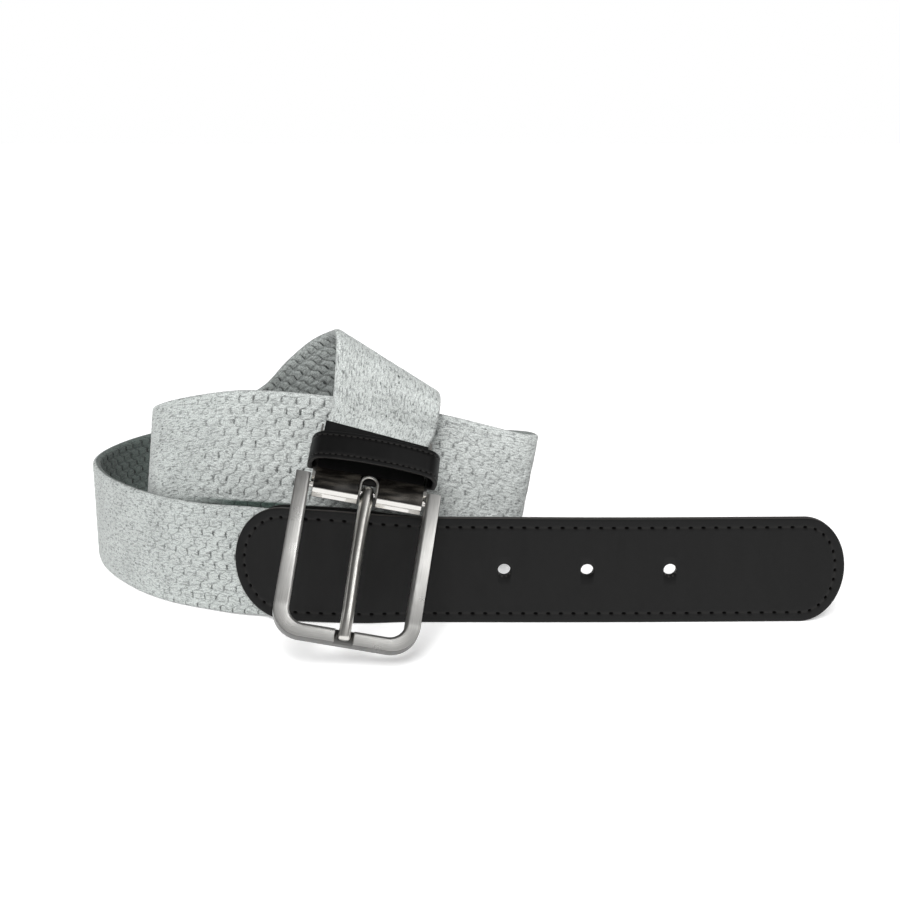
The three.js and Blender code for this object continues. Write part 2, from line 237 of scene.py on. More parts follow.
# Studio: white paper under two wide soft suns, in a room that is bright in front and dark behind.
# The boxes are seen only in reflections: they draw the streaks on the metal and the sheen on the leather.
studio = {
    "floor": "#f2f2f2", "floorGlow": 0.25, "floorSize": 40,
    # the room's brightness: as the camera sees it, before and behind the belt, what it adds to matt things,
    # and how much of it shiny things see at their left, with where each change begins and ends
    "seen": 1.0, "front": 0.5, "back": 0.05, "diffuseBack": 0.12, "glossyLeft": 0.3,
    "depthChange": (-0.8, 0.3), "leftChange": (-0.5, 0.2),
    "suns": [
        {"name": "keySun", "toward": (-0.1, -0.6, 0.77), "soft": 34, "strength": 2.5},
        {"name": "fillSun", "toward": (0.0, -0.8, 0.6), "soft": 50, "strength": 0.9},
    ],
    "boxes": [
        {"name": "frameBox", "azimuth": 40, "height": 62, "away": 0.7, "size": (0.2, 0.11), "glow": 3.3},
        {"name": "prongBox", "azimuth": 72, "height": 44, "away": 0.7, "size": (0.14, 0.3), "glow": 4.0},
        {"name": "leftBox", "azimuth": -100, "height": 22, "away": 0.7, "size": (0.25, 0.35), "glow": 0.9},
        {"name": "leatherBox", "azimuth": -42, "height": 30, "away": 0.8, "size": (0.3, 0.3), "glow": 0.8},
    ],
}


def aimed(name, lamp, place, target=(0, 0, 0)):
    holder = bpy.data.objects.new(name, lamp)
    holder.location = place
    holder.rotation_euler = (Vector(target) - Vector(place)).to_track_quat("-Z", "Y").to_euler()
    bpy.context.collection.objects.link(holder)
    return holder


def paperMaterial():
    # Matt white paper: even, with a faint glow that keeps it white under the belt
    material, tree, shader = newMaterial("matt white paper")
    feed(tree, shader, {
        "Roughness": 0.95, "Specular IOR Level": 0.1, "Base Color": hexColour(studio["floor"]),
        "Emission Color": (1, 1, 1, 1), "Emission Strength": studio["floorGlow"]})
    return material


mesh = bmesh.new()
bmesh.ops.create_grid(mesh, x_segments=1, y_segments=1, size=studio["floorSize"] / 2)
floor = pieceFrom(mesh, "floor")
floor.data.materials.append(paperMaterial())

for sun in studio["suns"]:
    lamp = bpy.data.lights.new(sun["name"], "SUN")
    lamp.energy = sun["strength"]
    lamp.angle = math.radians(sun["soft"])
    aimed(sun["name"], lamp, sun["toward"]).visible_glossy = False

for box in studio["boxes"]:
    wide, high = box["size"]
    lamp = bpy.data.lights.new(box["name"], "AREA")
    lamp.shape = "RECTANGLE"
    lamp.size = wide
    lamp.size_y = high
    lamp.energy = box["glow"] * math.pi * wide * high
    azimuth, height = math.radians(box["azimuth"]), math.radians(box["height"])
    level = math.cos(height)
    way = Vector((math.sin(azimuth) * level, -math.cos(azimuth) * level, math.sin(height)))
    focus = Vector(hinge)
    aimed(box["name"], lamp, focus + way * box["away"], focus).visible_diffuse = False

world = bpy.data.worlds.new("studio")
bpy.context.scene.world = world
world.use_nodes = True
tree = world.node_tree
way = addNode(tree, "SeparateXYZ", [addNode(tree, "TexCoord").outputs["Generated"]])
ray = addNode(tree, "LightPath").outputs
glow = addNode(tree, "MapRange", [way.outputs["Y"], *studio["depthChange"], studio["front"], studio["back"]])
leftDark = addNode(tree, "MapRange", [way.outputs["X"], *studio["leftChange"], studio["glossyLeft"], 1])
glossy = addNode(tree, "Mix", {"Factor": ray["Is Glossy Ray"], "A": 1, "B": leftDark})
glow = addNode(tree, "Math", [glow, glossy], operation="MULTIPLY")
glow = addNode(tree, "Math", [ray["Is Diffuse Ray"], studio["diffuseBack"], glow], operation="MULTIPLY_ADD")
strength = addNode(tree, "Mix", {"Factor": ray["Is Camera Ray"], "A": glow, "B": studio["seen"]})
feed(tree, tree.nodes["Background"], {"Color": (1, 1, 1, 1), "Strength": strength})
bpy.context.scene.view_settings.view_transform = "Standard"
print("studio and camera ready")


# The strap's route: its lower and upper edge at each bend, from the tip to the clamp, in mm
strap = {
    "width": 39.6, "thickness": 3.0, "pinchedWidth": 38.6, "pinchedThickness": 2.4,
    "route": [
        {"low": (148, -1.4, 0.1), "top": (148, 1.3, 39.3)},  # past the tip
        {"low": (60, -2.7, 0.1), "top": (60, 0, 39.3)},
        {"low": (-6, -2.7, 0.1), "top": (-6, 0.9, 39.3)},
        {"low": (-32, -2.2, 1.2), "top": (-32, 0.8, 40.8)},  # the webbing ends between the leathers
        {"low": (-54, -0.6, 1.5), "top": (-54, 2.2, 41.1)},
        {"low": (-76, 2.8, 0.6), "top": (-75, 9.4, 40.4)},  # the leather ends
        {"low": (-91, 8.2, 0.2), "top": (-91, 15.6, 39.4)},
        {"low": (-107, 15.4, 0.2), "top": (-106, 22.4, 39.4)},
        {"low": (-123.4, 28, 0.2), "top": (-121.3, 32.7, 39.6)},  # left turn
        {"low": (-142.1, 51.8, 0.2), "top": (-139.9, 52.6, 39.7)},
        {"low": (-149.7, 77, 0.2), "top": (-149.7, 77, 39.8)},
        {"low": (-143, 105, 0.2), "top": (-142.6, 105, 39.8)},
        {"low": (-124, 126, 0.2), "top": (-124, 126, 39.8)},  # back run
        {"low": (-95, 135, 0.2), "top": (-95, 135, 39.8)},
        {"low": (-60, 128, 0.4), "top": (-60, 128, 40)},
        {"low": (-27, 106, 3), "top": (-29, 106, 42.5)},  # the back run climbs
        {"low": (1, 76, 10.5), "top": (-1, 79, 49.8)},
        {"low": (16.5, 52, 17.6), "top": (19.5, 58, 56.4)},  # right fold
        {"low": (24, 39, 20.9), "top": (30.6, 45, 59.2)},
        {"low": (25.4, 33, 21.5), "top": (33, 39.5, 59.7)},
        {"low": (20.5, 28.2, 23), "top": (28.2, 35, 61)},
        {"low": (-9.5, 27.5, 29.6), "top": (-3.8, 34.5, 68.4)},  # upper run
        {"low": (-52, 27.5, 35), "top": (-46, 34.5, 75)},
        {"low": (-82, 27.5, 37.1), "top": (-78, 34.5, 77.3)},
        {"low": (-103.5, 28.5, 36.4), "top": (-100, 35, 75.1)},
        {"low": (-115, 34, 33.2), "top": (-111, 39.5, 71.8)},  # second left turn
        {"low": (-118.9, 45, 29.5), "top": (-114.5, 46, 68.5)},
        {"low": (-112, 58, 27), "top": (-107, 56.5, 66)},
        {"low": (-94, 67, 27), "top": (-93, 62, 65.5)},  # rising run
        {"low": (-66, 72, 36.5), "top": (-76, 60.5, 73.5)},
        {"low": (-42, 61, 49), "top": (-64.8, 56, 85)},
        {"low": (-22, 47, 63.5), "top": (-54, 48.8, 94.6)},
        {"low": (-8.5, 38, 74.2), "top": (-45.6, 41, 99.5)},  # top fold
        {"low": (-4.2, 32.5, 76.2), "top": (-42.8, 34, 100.5)},
        {"low": (-4, 25, 71), "top": (-42, 27, 95)},  # front drop
    ],
    "clamped": [(33, 1.6), (29, 0.9), (24, 0), (2.7, 0)],  # how far up the clamp, and how far aside
    "clampedLift": -0.5, "clampMouth": 25, "pinchStart": 5, "pinchEnd": 1,  # it thins just before the mouth
    "samples": 6001,
}


# Centripetal Catmull-Rom curve through the rows
def curveThrough(rows, t):
    rows = np.array(rows, float)
    ends = np.vstack([2 * rows[0] - rows[1], rows, 2 * rows[-1] - rows[-2]])
    place = np.asarray(t) * (len(rows) - 1)
    k = np.minimum(place.astype(int), len(rows) - 2)
    w = (place - k)[:, None]
    a, b, c, d = ends[k], ends[k + 1], ends[k + 2], ends[k + 3]
    ab, bc, cd = (np.sqrt(np.linalg.norm(q - p, axis=1))[:, None] for p, q in ((a, b), (b, c), (c, d)))
    leave = ((b - a) / ab - (c - a) / (ab + bc) + (c - b) / bc) * bc
    arrive = ((c - b) / bc - (d - b) / (bc + cd) + (d - c) / cd) * bc
    square, cube = 3 * c - 3 * b - 2 * leave - arrive, 2 * b - 2 * c + leave + arrive
    return b + leave * w + square * w ** 2 + cube * w ** 3


def clampRows(side):
    edge, lift = side * strap["width"] / 2, strap["clampedLift"]
    return list(onPlate(clampTurn, [(edge + drift, along, lift) for along, drift in strap["clamped"]]))


routeLow = [row["low"] for row in strap["route"]] + clampRows(1)
routeTop = [row["top"] for row in strap["route"]] + clampRows(-1)
routeSteps = np.linspace(0, 1, strap["samples"])
routeRun = runAlong((curveThrough(routeLow, routeSteps) + curveThrough(routeTop, routeSteps)) / 2)
strapLength = routeRun[-1]


# Middle, direction, across and inner face of the strap at distances from the route's start
def stations(distance):
    t = np.interp(distance, routeRun, routeSteps)
    low, top = curveThrough(routeLow, t), curveThrough(routeTop, t)
    nudge = 1e-4
    ahead, behind = np.clip(t + nudge, 0, 1), np.clip(t - nudge, 0, 1)
    along = (curveThrough(routeLow, ahead) + curveThrough(routeTop, ahead)
             - curveThrough(routeLow, behind) - curveThrough(routeTop, behind))
    along /= np.linalg.norm(along, axis=1)[:, None]
    across = (top - low) / strap["width"]
    inner = np.cross(along, across)
    inner /= np.linalg.norm(inner, axis=1)[:, None]
    return (low + top) / 2, along, across, inner


# Webbing: a braided stretch strap, with each float of the braid standing proud, in mm
webbing = {
    "start": 186, "step": 0.5, "acrossStep": 0.45, "edgeRadius": 1.25, "edgeSteps": 9,
    "runs": [("webbingFrontRun", 0.0, 0.24), ("webbingBackRun", 0.24, 0.5),
             ("webbingUpperRun", 0.5, 0.74), ("webbingTopRun", 0.74, 1.0)],
    "cell": 5.2, "rows": 10, "offset": 0.64, "slant": 0.55,  # a float's length, and the step to the next row
    "crown": 0.22, "squareness": 0.5, "rowCrown": 0.4, "rowSquareness": 0.6,  # how a float bulges
    "uneven": 0.08, "unevenCells": 400, "seed": 11,
    "grooveDepth": 0.24, "grooveHalf": 0.5, "joinShallower": 0.25, "rowDepth": 0.03, "rowHalf": 0.35,
    "closed": 0.35, "pinchedFlat": 0.9,  # the relief left where the floats close up, and lost in the clamp
    "selvedge": 2.0, "selvedgeFade": 0.45, "selvedgeSunk": 0.1,
    "rib": 1.1, "ribHeight": 0.14, "ribWander": 0.4,
    # painted shadow of the slit under the upper run: its width up from the lower edge, its fade and its
    # darkest tone
    "slitShadowWidth": 2.8, "slitShadowFade": 0.85, "slitShadowTone": 0.1,
    # at some of the route's bends: how clearly the outer face's floats show, which close up where the strap
    # turns, how much painted shade darkens the inner and the outer face, and where a painted slit shadow
    # darkens the lower edge
    "clear": {5: 0.9, 6: 0.9, 7: 0.65, 8: 0.3, 9: 0.12, 15: 0.5, 17: 0.3, 19: 0.25, 20: 0.35, 21: 0.7, 22: 1,
              23: 0.8, 24: 0.3, 25: 0.15, 29: 0.4, 33: 0.3, 36: 0.35, 38: 0.35},
    "shade": {4: 0.42, 7: 0.19, 11: 0.19, 14: 0.42, 21: 0.52, 28: 0.62, 32: 0.67, 38: 0.7},
    "outerShade": {5: 0.78, 9: 0.78, 13: 0.95, 16: 1, 21: 1, 22: 0.97, 23: 0.88, 24: 0.79, 28: 0.9, 34: 0.93,
                   38: 0.93},
    "slitShadow": {20: 0, 21: 1, 22: 1, 23: 1, 24: 0.1, 25: 0},
    # there too: how far the strap's lower and upper edges spread
    "spreadLow": {20: 0, 21: 2.7, 22: 3.3, 23: 3.1, 24: 0.8, 25: 0},
    "spreadTop": {20: 0, 21: 0.6, 22: 1, 23: 1, 24: 0.4, 25: 0},
}
chance = np.random.default_rng(webbing["seed"])
cellHeights = chance.uniform(-1, 1, (webbing["rows"] + 2, webbing["unevenCells"]))
rowPitch = strap["width"] / webbing["rows"]


# Points round the strap's section: across, out, and their outward direction
def strapSection():
    half, thick, radius = strap["width"] / 2, strap["thickness"] / 2, webbing["edgeRadius"]
    flat = half - radius
    side = np.linspace(-flat, flat, round(2 * flat / webbing["acrossStep"]) + 1)
    bend = np.linspace(0, math.pi, webbing["edgeSteps"])[1:-1]
    loop = [(a, thick, 0, 1) for a in side]
    loop += [(flat + radius * math.sin(t), thick * math.cos(t), math.sin(t), math.cos(t)) for t in bend]
    loop += [(-a, -thick, 0, -1) for a in side]
    loop += [(-flat - radius * math.sin(t), -thick * math.cos(t), -math.sin(t), -math.cos(t)) for t in bend]
    return np.array(loop + loop[:1])


# Height of the braid over the strap's faces: each groove runs up a float's end, then slants to the next row
def braid(u, a):
    slant, bulge = webbing["slant"], webbing["rowCrown"]
    q = (a + strap["width"] / 2) / rowPitch
    row = np.clip(np.floor(q), 0, webbing["rows"] - 1).astype(int)
    up = np.clip(q - row, 0, 1)  # how far up its row
    phase = u / webbing["cell"] + webbing["offset"] * (row + smoothStep(up, 1 - slant, 1))
    ahead = phase - np.floor(phase)  # how far along its float
    gap = np.minimum(ahead, 1 - ahead) * webbing["cell"]
    rowGap = np.minimum(up, 1 - up) * rowPitch
    pillow = np.sin(math.pi * ahead) ** webbing["squareness"]
    pillow *= 1 - bulge + bulge * np.sin(math.pi * up) ** webbing["rowSquareness"]
    uneven = cellHeights[row, np.floor(phase).astype(int) % webbing["unevenCells"]]
    join = np.sin(math.pi * np.clip((up - 1 + slant) / slant, 0, 1))
    depth = webbing["grooveDepth"] * (1 - webbing["joinShallower"] * join)
    grooves = depth * hump(gap, webbing["grooveHalf"])
    seams = webbing["rowDepth"] * hump(rowGap, webbing["rowHalf"])
    return webbing["crown"] * pillow + webbing["uneven"] * uneven - grooves - seams


# A value that is given at some of the route's bends, as a column
def alongRoute(key, distance):
    bends = sorted(webbing[key])
    runs = np.interp(np.array(bends) / (len(routeLow) - 1), routeSteps, routeRun)
    return np.interp(distance, runs, [webbing[key][k] for k in bends])[:, None]


def makeWebbing(name, start, end):
    u = np.linspace(start, end, round((end - start) / webbing["step"]) + 1)
    middle, _, across, inner = stations(u)
    section = strapSection()
    a, b, outA, outB = (section[None, :, i] + 0 * u[:, None] for i in range(4))
    distance = u[:, None] + 0 * a
    half, slitShadowWidth, selvedge = strap["width"] / 2, webbing["slitShadowWidth"], webbing["selvedge"]
    outer = b < 0
    mouth = strapLength - (strap["clampMouth"] - strap["clamped"][-1][0])
    pinch = smoothStep(u, mouth - strap["pinchStart"], mouth - strap["pinchEnd"])[:, None]
    wide = 1 + pinch * (strap["pinchedWidth"] / strap["width"] - 1)
    thin = 1 + pinch * (strap["pinchedThickness"] / strap["thickness"] - 1)
    clear = np.where(outer, alongRoute("clear", u), 1.0)
    # painted shadow of the slit between the upper run and the front run: a dark band along the lower edge
    slitShadow = alongRoute("slitShadow", u) * smoothStep(half + a, slitShadowWidth, slitShadowWidth * webbing["slitShadowFade"])
    # painted shade: each face is darkened along the route, the inner face and the coil's inside most
    shade = np.where(outer, alongRoute("outerShade", u), alongRoute("shade", u))
    shade = shade * (1 - (1 - webbing["slitShadowTone"]) * slitShadow)
    height = braid(distance, a) * (webbing["closed"] + (1 - webbing["closed"]) * clear)
    edge = smoothStep(half - np.abs(a), selvedge, selvedge * webbing["selvedgeFade"])
    rib = np.abs(np.sin(math.pi * distance / webbing["rib"] + webbing["ribWander"] * np.sin(distance)))
    rib = webbing["ribHeight"] * rib - webbing["selvedgeSunk"]
    height = (height * (1 - edge) + rib * edge) * (1 - webbing["pinchedFlat"] * pinch)
    spread = np.where(a > 0, alongRoute("spreadTop", u), alongRoute("spreadLow", u))
    side = a * (wide + 2 * spread / strap["width"]) + outA * height
    out = b * thin + outB * height
    places = middle[:, None] + across[:, None] * side[..., None] + inner[:, None] * out[..., None]
    uv = np.stack([distance, half + a], -1)
    return wrappedGrid(name, places, uv, {"outer": outer * 1.0, "clear": clear, "shade": shade})


# The braid's colours and its patterns' scales, per metre; its gap colour and its shaded tint are painted
# shade
braidLook = {
    "pale": "#d8dcda", "grey": "#9a9e9c", "gap": "#4a4f4d", "dot": "#5c615f", "shaded": "#003f30",
    "wave": 420,  # 2.4 mm, about half a float
    "fuzz": 2600,  # 0.4 mm, loose filaments
    "fibre": (480, 1700, 1),  # 2 x 0.6 mm, strands along the strap
    "cloud": 70,  # 14 mm
    "dots": (430, 720, 1), "dotTurn": (0, 0, 0.5),  # 2.3 x 1.4 mm apart, in slanting rows
    "flecks": 70, "fleckRadius": (0.0003, 0.0006),  # 14 mm apart, and 0.3 to 0.6 mm in radius
}


# How much painted shade darkens the braid's gaps, from 0 to 1: a tick up each float's end, and a fine seam
# between the rows
def braidGaps(tree, place, outer, wave, fuzz):
    cell = webbing["cell"]
    wander = addNode(tree, "Math", [wave, 1.4, -0.7], operation="MULTIPLY_ADD")
    u = addNode(tree, "Math", [place["X"], 1000, wander], operation="MULTIPLY_ADD")
    wander = addNode(tree, "Math", [wave, 0.3, -0.15], operation="MULTIPLY_ADD")
    q = addNode(tree, "Math", [place["Y"], 1000 / rowPitch, wander], operation="MULTIPLY_ADD")
    row = addNode(tree, "Math", [q], operation="FLOOR")
    up = addNode(tree, "Math", [q], operation="FRACT")
    slant = addNode(tree, "MapRange", [up, 1 - webbing["slant"], 1, 0, 1], **eased)
    stair = addNode(tree, "Math", [row, slant], operation="ADD")
    stair = addNode(tree, "Math", [stair, webbing["offset"]], operation="MULTIPLY")
    phase = addNode(tree, "Math", [u, 1 / cell, stair], operation="MULTIPLY_ADD")
    gap = addNode(tree, "Math", [phase, cell], operation="MULTIPLY")
    gap = addNode(tree, "Math", [gap, cell / 2], operation="PINGPONG")
    fray = addNode(tree, "Math", [fuzz, 0.9, -0.65], operation="MULTIPLY_ADD")
    gap = addNode(tree, "Math", [gap, fray], operation="ADD")
    gap = addNode(tree, "Math", [outer, 0.2, gap], operation="MULTIPLY_ADD")
    tick = addNode(tree, "MapRange", [gap, 0.1, 0.55, 1, 0], **eased)
    above = addNode(tree, "MapRange", [up, 0.35, 0.6, 1, 0.42], **eased)
    foot = addNode(tree, "MapRange", [up, 0, 0.12, 0.5, 1], **eased)
    upright = addNode(tree, "Math", [above, foot], operation="MULTIPLY")
    tick = addNode(tree, "Math", [tick, upright], operation="MULTIPLY")
    column = addNode(tree, "Math", [phase], operation="FLOOR")
    floatPlace = addNode(tree, "CombineXYZ", [row, column])
    uneven = addNode(tree, "TexWhiteNoise", {"Vector": floatPlace}, noise_dimensions="2D")
    uneven = addNode(tree, "MapRange", [uneven, 0, 1, 0.45, 1], **eased)
    tick = addNode(tree, "Math", [tick, uneven], operation="MULTIPLY")
    rowGap = addNode(tree, "Math", [q, 0.5], operation="PINGPONG")
    seam = addNode(tree, "MapRange", [rowGap, 0, 0.2, 1, 0], **eased)
    strength = addNode(tree, "MapRange", [outer, 0, 1, 0.3, 0.08], **eased)
    seam = addNode(tree, "Math", [seam, strength], operation="MULTIPLY")
    return addNode(tree, "Math", [tick, seam], operation="MAXIMUM")


def braidMaterial():
    # Braided polyester stretch cord: matt and fuzzy pale grey, with painted shade darkening the gaps between
    # its floats
    material, tree, shader = newMaterial("braided polyester")
    look = braidLook
    uv = addNode(tree, "UVMap", uv_map="surface")
    place = addNode(tree, "SeparateXYZ", [uv]).outputs
    clear, outer, inner = (
        addNode(tree, "Attribute", attribute_name=key).outputs["Fac"] for key in ("clear", "outer", "shade"))
    wave = addNode(tree, "TexNoise", {"Vector": uv, "Scale": look["wave"], "Detail": 2})
    fuzz = addNode(tree, "TexNoise", {"Vector": uv, "Scale": look["fuzz"], "Detail": 2})
    gaps = braidGaps(tree, place, outer, wave, fuzz)
    gaps = addNode(tree, "Math", [gaps, clear], operation="MULTIPLY")
    tone = addNode(tree, "ValToRGB", [fuzz])
    setStops(tone, (0.3, look["grey"]), (0.7, look["pale"]))
    # painted shade in the gaps: the ticks and seams are mixed towards the gap colour
    tone = addNode(tree, "Mix", {0: gaps, 6: tone, 7: hexColour(look["gap"])}, **multiplied)
    strands = addNode(tree, "Mapping", {"Vector": uv, "Scale": look["fibre"]})
    fibre = addNode(tree, "TexNoise", {"Vector": strands, "Scale": 1, "Detail": 3, "Roughness": 0.6,
                                       "Distortion": 0.9})
    strand = addNode(tree, "MapRange", [fibre, 0.37, 0.54, 0.56, 1], **eased)
    tone = addNode(tree, "Mix", {0: 1, 6: tone, 7: strand}, **multiplied)
    # painted shade: the shade attribute, here called inner, darkens each run towards the shaded tint
    tint = addNode(tree, "Mix", {0: inner, 6: hexColour(look["shaded"]), 7: (1, 1, 1, 1)}, **blended)
    tone = addNode(tree, "Mix", {0: 1, 6: tone, 7: tint}, **multiplied)
    cloud = addNode(tree, "TexNoise", {"Vector": uv, "Scale": look["cloud"], "Detail": 2})
    cloud = addNode(tree, "MapRange", [cloud, 0.3, 0.7, 0.93, 1.05], **eased)
    tone = addNode(tree, "Mix", {0: 1, 6: tone, 7: cloud}, **multiplied)
    # small dark dots between the strands, mostly where the floats have closed up
    leaning = addNode(tree, "Mapping", {"Vector": uv, "Scale": look["dots"], "Rotation": look["dotTurn"]})
    dots = addNode(tree, "TexVoronoi", {"Vector": leaning, "Scale": 1, "Randomness": 0.65})
    dots = addNode(tree, "MapRange", [dots, 0.1, 0.34, 1, 0], **eased)
    patches = addNode(tree, "MapRange", [wave, 0.35, 0.6, 0.25, 1], **eased)
    dots = addNode(tree, "Math", [dots, patches], operation="MULTIPLY")
    closed = addNode(tree, "Math", [clear, -0.8, 1], operation="MULTIPLY_ADD")
    dots = addNode(tree, "Math", [dots, closed], operation="MULTIPLY")
    tone = addNode(tree, "Mix", {0: dots, 6: tone, 7: hexColour(look["dot"])}, **multiplied)
    flecks = addNode(tree, "TexVoronoi", {"Vector": uv, "Scale": look["flecks"]})
    flecks = addNode(tree, "Math", [flecks, 1 / look["flecks"]], operation="MULTIPLY")
    flecks = addNode(tree, "MapRange", [flecks, *look["fleckRadius"], 0.25, 1], **eased)
    tone = addNode(tree, "Mix", {0: 1, 6: tone, 7: flecks}, **multiplied)
    height = addNode(tree, "Math", [fuzz, 0.1], operation="MULTIPLY")
    height = addNode(tree, "Math", [fibre, 0.22, height], operation="MULTIPLY_ADD")
    height = addNode(tree, "Math", [gaps, -0.3, height], operation="MULTIPLY_ADD")
    bump = addNode(tree, "Bump", {"Height": height, "Strength": 1, "Distance": 0.001})
    feed(tree, shader, {
        "Base Color": tone, "Normal": bump, "Roughness": 0.95, "Specular IOR Level": 0.15,
        "Sheen Weight": 0.2, "Sheen Roughness": 0.6})
    return material


braidFinish = braidMaterial()
webbingSpan = strapLength - webbing["start"]
for name, first, last in webbing["runs"]:
    piece = makeWebbing(name, webbing["start"] + first * webbingSpan, webbing["start"] + last * webbingSpan)
    dress(piece, "belt", "webbing", braidFinish, "webbing")
print("webbing ready", round(strapLength, 1))


# Leather tip: two leathers sewn together, with rounded ends, three holes and a row of stitches all round
tip = {
    "nose": 143, "length": 221, "leather": 1.3, "noseLength": 15.3, "sewnLength": 19.7,
    "taper": (-50, -4), "sewnHalf": 21.2, "sewnMiddle": 21.3, "freeHalf": 19.6, "freeMiddle": 19.6,
    "noseSteps": 65, "freeSteps": 340, "taperSteps": 110, "sewnSteps": 21, "fitSteps": 6,
    "between": 0.02, "overWebbing": 0.22, "parting": (24, 4),  # they part from 24 to 4 mm before the webbing
    "holes": (19.6, 49.6, 79.6), "holeHeight": 20.0, "holeRadius": 2.3, "holeFlare": 0.35,
    "pegReach": 5, "pegSpread": 1.5, "pegOver": 0.02, "pegSides": 40,  # what cuts the holes
    "stitchInset": 3.5, "stitchPitch": 4.6,
    "seamDepth": 0.12, "seamHalf": 0.5, "pinDepth": 0.55, "pinWidth": 0.45, "pinHalf": 0.72,
    "threadPale": 0.15, "cutEdge": (0.15, 1.2), "faceDrop": 0.5,
    # the section, from the face's middle over the edge to the back's: in from the outline, down from the face
    "section": [(math.inf, 0), (14, 0), (9, 0), (6, 0), (5.1, 0), (4.6, 0), (4.2, 0), (3.95, 0), (3.75, 0),
                (3.5, 0), (3.25, 0), (3.05, 0), (2.8, 0), (2.4, 0), (1.6, 0), (1, 0.01), (0.6, 0.03),
                (0.33, 0.09), (0.14, 0.2), (0.03, 0.38), (0, 0.6), (0, 1.15), (0.1, 1.3), (3, 1.3), (9, 1.3),
                (math.inf, 1.3)],
}


# The tip's flat outline from the nose's middle over the top to the sewn end, with the centre line under it
def tipHalf():
    right, left = tip["nose"] - tip["noseLength"], tip["nose"] - tip["length"] + tip["sewnLength"]
    wide, narrow = tip["taper"]
    freeHalf, sewnHalf = tip["freeHalf"], tip["sewnHalf"]
    bend = (narrow - wide) / 3
    quarter = np.linspace(0, math.pi / 2, tip["noseSteps"])
    nose = np.stack([right + tip["noseLength"] * np.cos(quarter), freeHalf * np.sin(quarter)], 1)
    free = np.linspace((right, freeHalf), (narrow, freeHalf), tip["freeSteps"])[1:]
    taper = bezier((narrow, freeHalf), (narrow - bend, freeHalf), (wide + bend, sewnHalf), (wide, sewnHalf),
                   np.linspace(0, 1, tip["taperSteps"])[1:])
    sewn = np.linspace((wide, sewnHalf), (left, sewnHalf), tip["sewnSteps"])[1:]
    end = np.stack([left - tip["sewnLength"] * np.sin(quarter[1:]), sewnHalf * np.cos(quarter[1:])], 1)
    straight = np.vstack([free, taper, sewn])
    middles = [nose * 0 + [right, 0], straight * [1, 0], end * 0 + [left, 0]]
    return np.vstack([nose, straight, end]), np.vstack(middles)


def tipMiddleHeight(x):
    wide, narrow = tip["taper"]
    return tip["sewnMiddle"] + (tip["freeMiddle"] - tip["sewnMiddle"]) * smoothStep(x, wide, narrow)


# From flat x and height to places on the strap's route, lifted off its middle by out
def onTip(x, z, out):
    shape = x.shape
    x, z, out = x.ravel(), z.ravel(), out.ravel()
    u = strap["route"][0]["low"][0] - x
    for _ in range(tip["fitSteps"]):
        middle, along, across, inner = stations(np.clip(u, 0, strapLength))
        a = (z - middle[:, 2]) / across[:, 2]
        u = u + (middle[:, 0] + across[:, 0] * a - x) / np.maximum(-along[:, 0], 0.5)
    middle, along, across, inner = stations(np.clip(u, 0, strapLength))
    return (middle + across * a[:, None] + inner * out[:, None]).reshape(*shape, 3)


def makeTipLeather(name, side):
    half, middles = tipHalf()
    outline = np.vstack([half, (half * [1, -1])[::-1][1:]])
    centre = np.vstack([middles, middles[::-1][1:]])
    reach = np.linalg.norm(centre - outline, axis=1)
    near = fromStitch(runAlong(outline), tip["stitchPitch"])
    cutStart, cutEnd = tip["cutEdge"]
    columns = []
    for inset, drop in tip["section"]:
        flat = outline + (centre - outline) * np.minimum(inset / reach, 1)[:, None]
        onFace = drop < tip["faceDrop"]
        seam = hump(inset - tip["stitchInset"], tip["seamHalf"]) * onFace
        row = hump(inset - tip["stitchInset"], tip["pinWidth"]) * onFace
        pin = row * np.exp(-(near / tip["pinHalf"]) ** 4)
        down = drop + tip["seamDepth"] * seam + tip["pinDepth"] * pin
        pale = float(cutStart < drop < cutEnd) + tip["threadPale"] * row * (1 - pin)
        columns.append((flat, down, pin, pale))
    flat, down, pin, pale = (np.stack(parts, 1) for parts in zip(*columns))
    x = flat[..., 0]
    webbingEnd = strap["route"][0]["low"][0] - webbing["start"]
    joined, parted = (webbingEnd + before for before in tip["parting"])
    lift = tip["between"] + smoothStep(-x, -joined, -parted) * (strap["thickness"] / 2 + tip["overWebbing"])
    places = onTip(x, tipMiddleHeight(x) + flat[..., 1], side * (lift + tip["leather"] - down))
    return wrappedGrid(name, places, flat, {"groove": pin, "edge": pale}, cap=False)


# Three round pegs with flared ends, which cut the holes and round their rims
def holeCutter():
    radius, flare, face, reach = tip["holeRadius"], tip["holeFlare"], tip["leather"], tip["pegReach"]
    rim, end, over = radius + flare, radius + flare + tip["pegSpread"], tip["pegOver"]
    profile = [(0, -reach), (end, -reach), (rim, -face - over), (radius, -face + flare),
               (radius, face - flare), (rim, face + over), (end, reach), (0, reach)]
    mesh = bmesh.new()
    for x in tip["holes"]:
        verts = [mesh.verts.new((0.001 * r, 0.001 * d, 0)) for r, d in profile]
        edges = [mesh.edges.new(pair) for pair in zip(verts, verts[1:])]
        bmesh.ops.spin(mesh, geom=verts + edges, cent=(0, 0, 0), axis=(0, 1, 0), angle=2 * math.pi,
                       steps=tip["pegSides"], use_merge=True)
        fresh = [vert for vert in mesh.verts if not vert.tag]
        place = onTip(np.array([x]), np.array([tip["holeHeight"]]), np.array([0.0]))
        bmesh.ops.translate(mesh, verts=fresh, vec=Vector(toRow(place)[0]))
        for vert in fresh:
            vert.tag = True
    bmesh.ops.remove_doubles(mesh, verts=mesh.verts, dist=1e-7)
    bmesh.ops.recalc_face_normals(mesh, faces=mesh.faces)
    return pieceFrom(mesh, "holeCutter")


